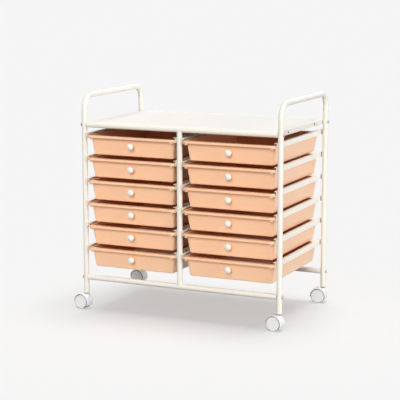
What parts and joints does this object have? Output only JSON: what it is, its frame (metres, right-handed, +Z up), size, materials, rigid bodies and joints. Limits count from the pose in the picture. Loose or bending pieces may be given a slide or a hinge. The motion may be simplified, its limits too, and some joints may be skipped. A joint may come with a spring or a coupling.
{
  "type": "rolling drawer cart",
  "caption": "Rolling tube-frame cart with a flat top panel, side by side columns of pull-out plastic drawers with round knobs, looped side handles and swivel casters.",
  "frame": {"origin": "on the floor under the middle of the cart's box; the casters trail to the left, so the legs stand 13 mm to the right of it", "axes": "+X to the cart's right as seen from the drawer fronts, +Y to the back, +Z up"},
  "size_m": [0.67, 0.3992, 0.648],
  "materials": {
    "frame_paint": "satin cream powder coat",
    "panel": "satin cream laminate",
    "drawer_plastic": "satin moulded peach",
    "knob": "glossy white",
    "bolts": "plain zinc",
    "dark_screws": "black oxide",
    "plugs": "moulded",
    "stems": "plain steel",
    "caster_hood": "satin light grey",
    "caster_wheel": "satin light grey"
  },
  "bodies": {
    "frame": {"side_frame_left": "frame_paint", "side_frame_right": "frame_paint", "runners_left": "frame_paint", "runners_right": "frame_paint", "runners_centre_left": "frame_paint", "runners_centre_right": "frame_paint", "centre_post_front": "frame_paint", "centre_post_rear": "frame_paint", "top_rail_front": "frame_paint", "top_rail_rear": "frame_paint", "bottom_rail_front": "frame_paint", "bottom_rail_rear": "frame_paint", "top_board": "panel", "top_strips": "frame_paint", "frame_bolts": "bolts", "rail_plugs": "plugs", "post_plugs": "plugs", "board_screws": "dark_screws", "caster_sleeves": "plugs", "caster_stems": "stems"},
    "caster_front_left": {"caster_front_left_hood": "caster_hood", "caster_front_left_axle": "stems"},
    "caster_front_left_wheel_near": {"caster_front_left_wheel_near": "caster_wheel"},
    "caster_front_left_wheel_far": {"caster_front_left_wheel_far": "caster_wheel"},
    "caster_front_right": {"caster_front_right_hood": "caster_hood", "caster_front_right_axle": "stems"},
    "caster_front_right_wheel_near": {"caster_front_right_wheel_near": "caster_wheel"},
    "caster_front_right_wheel_far": {"caster_front_right_wheel_far": "caster_wheel"},
    "caster_rear_left": {"caster_rear_left_hood": "caster_hood", "caster_rear_left_axle": "stems"},
    "caster_rear_left_wheel_near": {"caster_rear_left_wheel_near": "caster_wheel"},
    "caster_rear_left_wheel_far": {"caster_rear_left_wheel_far": "caster_wheel"},
    "caster_rear_right": {"caster_rear_right_hood": "caster_hood", "caster_rear_right_axle": "stems"},
    "caster_rear_right_wheel_near": {"caster_rear_right_wheel_near": "caster_wheel"},
    "caster_rear_right_wheel_far": {"caster_rear_right_wheel_far": "caster_wheel"},
    "drawer_left_1": {"drawer_tray_left_1": "drawer_plastic", "drawer_knob_left_1": "knob"},
    "drawer_left_2": {"drawer_tray_left_2": "drawer_plastic", "drawer_knob_left_2": "knob"},
    "drawer_left_3": {"drawer_tray_left_3": "drawer_plastic", "drawer_knob_left_3": "knob"},
    "drawer_left_4": {"drawer_tray_left_4": "drawer_plastic", "drawer_knob_left_4": "knob"},
    "drawer_left_5": {"drawer_tray_left_5": "drawer_plastic", "drawer_knob_left_5": "knob"},
    "drawer_left_6": {"drawer_tray_left_6": "drawer_plastic", "drawer_knob_left_6": "knob"},
    "drawer_right_1": {"drawer_tray_right_1": "drawer_plastic", "drawer_knob_right_1": "knob"},
    "drawer_right_2": {"drawer_tray_right_2": "drawer_plastic", "drawer_knob_right_2": "knob"},
    "drawer_right_3": {"drawer_tray_right_3": "drawer_plastic", "drawer_knob_right_3": "knob"},
    "drawer_right_4": {"drawer_tray_right_4": "drawer_plastic", "drawer_knob_right_4": "knob"},
    "drawer_right_5": {"drawer_tray_right_5": "drawer_plastic", "drawer_knob_right_5": "knob"},
    "drawer_right_6": {"drawer_tray_right_6": "drawer_plastic", "drawer_knob_right_6": "knob"}
  },
  "joints": [
    {"name": "caster_front_left_swivel", "type": "hinge", "parent": "frame", "child": "caster_front_left", "pos_m": [-0.29646, -0.18306, 0.021], "axis": [0, 0, 1], "continuous": true},
    {"name": "caster_front_left_near_spin", "type": "hinge", "parent": "caster_front_left", "child": "caster_front_left_wheel_near", "pos_m": [-0.31056, -0.19284, 0.021], "axis": [0.1045, 0.9945, 0], "continuous": true},
    {"name": "caster_front_left_far_spin", "type": "hinge", "parent": "caster_front_left", "child": "caster_front_left_wheel_far", "pos_m": [-0.30822, -0.17056, 0.021], "axis": [0.1045, 0.9945, 0], "continuous": true},
    {"name": "caster_front_right_swivel", "type": "hinge", "parent": "frame", "child": "caster_front_right", "pos_m": [0.32254, -0.18306, 0.021], "axis": [0, 0, 1], "continuous": true},
    {"name": "caster_front_right_near_spin", "type": "hinge", "parent": "caster_front_right", "child": "caster_front_right_wheel_near", "pos_m": [0.30878, -0.19333, 0.021], "axis": [0.0698, 0.9976, 0], "continuous": true},
    {"name": "caster_front_right_far_spin", "type": "hinge", "parent": "caster_front_right", "child": "caster_front_right_wheel_far", "pos_m": [0.31035, -0.17098, 0.021], "axis": [0.0698, 0.9976, 0], "continuous": true},
    {"name": "caster_rear_left_swivel", "type": "hinge", "parent": "frame", "child": "caster_rear_left", "pos_m": [-0.29646, 0.18194, 0.021], "axis": [0, 0, 1], "continuous": true},
    {"name": "caster_rear_left_near_spin", "type": "hinge", "parent": "caster_rear_left", "child": "caster_rear_left_wheel_near", "pos_m": [-0.31003, 0.17143, 0.021], "axis": [0.0523, 0.9986, 0], "continuous": true},
    {"name": "caster_rear_left_far_spin", "type": "hinge", "parent": "caster_rear_left", "child": "caster_rear_left_wheel_far", "pos_m": [-0.30886, 0.1938, 0.021], "axis": [0.0523, 0.9986, 0], "continuous": true},
    {"name": "caster_rear_right_swivel", "type": "hinge", "parent": "frame", "child": "caster_rear_right", "pos_m": [0.32254, 0.18194, 0.021], "axis": [0, 0, 1], "continuous": true},
    {"name": "caster_rear_right_near_spin", "type": "hinge", "parent": "caster_rear_right", "child": "caster_rear_right_wheel_near", "pos_m": [0.31056, 0.16965, 0.021], "axis": [-0.0872, 0.9962, 0], "continuous": true},
    {"name": "caster_rear_right_far_spin", "type": "hinge", "parent": "caster_rear_right", "child": "caster_rear_right_wheel_far", "pos_m": [0.30861, 0.19196, 0.021], "axis": [-0.0872, 0.9962, 0], "continuous": true},
    {"name": "drawer_left_1_slide", "type": "slide", "parent": "frame", "child": "drawer_left_1", "axis": [0, -1, 0], "range_m": [0, 0.28]},
    {"name": "drawer_left_2_slide", "type": "slide", "parent": "frame", "child": "drawer_left_2", "axis": [0, -1, 0], "range_m": [0, 0.28]},
    {"name": "drawer_left_3_slide", "type": "slide", "parent": "frame", "child": "drawer_left_3", "axis": [0, -1, 0], "range_m": [0, 0.28]},
    {"name": "drawer_left_4_slide", "type": "slide", "parent": "frame", "child": "drawer_left_4", "axis": [0, -1, 0], "range_m": [0, 0.28]},
    {"name": "drawer_left_5_slide", "type": "slide", "parent": "frame", "child": "drawer_left_5", "axis": [0, -1, 0], "range_m": [0, 0.28]},
    {"name": "drawer_left_6_slide", "type": "slide", "parent": "frame", "child": "drawer_left_6", "axis": [0, -1, 0], "range_m": [0, 0.28]},
    {"name": "drawer_right_1_slide", "type": "slide", "parent": "frame", "child": "drawer_right_1", "axis": [0, -1, 0], "range_m": [0, 0.28]},
    {"name": "drawer_right_2_slide", "type": "slide", "parent": "frame", "child": "drawer_right_2", "axis": [0, -1, 0], "range_m": [0, 0.28]},
    {"name": "drawer_right_3_slide", "type": "slide", "parent": "frame", "child": "drawer_right_3", "axis": [0, -1, 0], "range_m": [0, 0.28]},
    {"name": "drawer_right_4_slide", "type": "slide", "parent": "frame", "child": "drawer_right_4", "axis": [0, -1, 0], "range_m": [0, 0.28]},
    {"name": "drawer_right_5_slide", "type": "slide", "parent": "frame", "child": "drawer_right_5", "axis": [0, -1, 0], "range_m": [0, 0.28]},
    {"name": "drawer_right_6_slide", "type": "slide", "parent": "frame", "child": "drawer_right_6", "axis": [0, -1, 0], "range_m": [0, 0.28]}
  ]
}
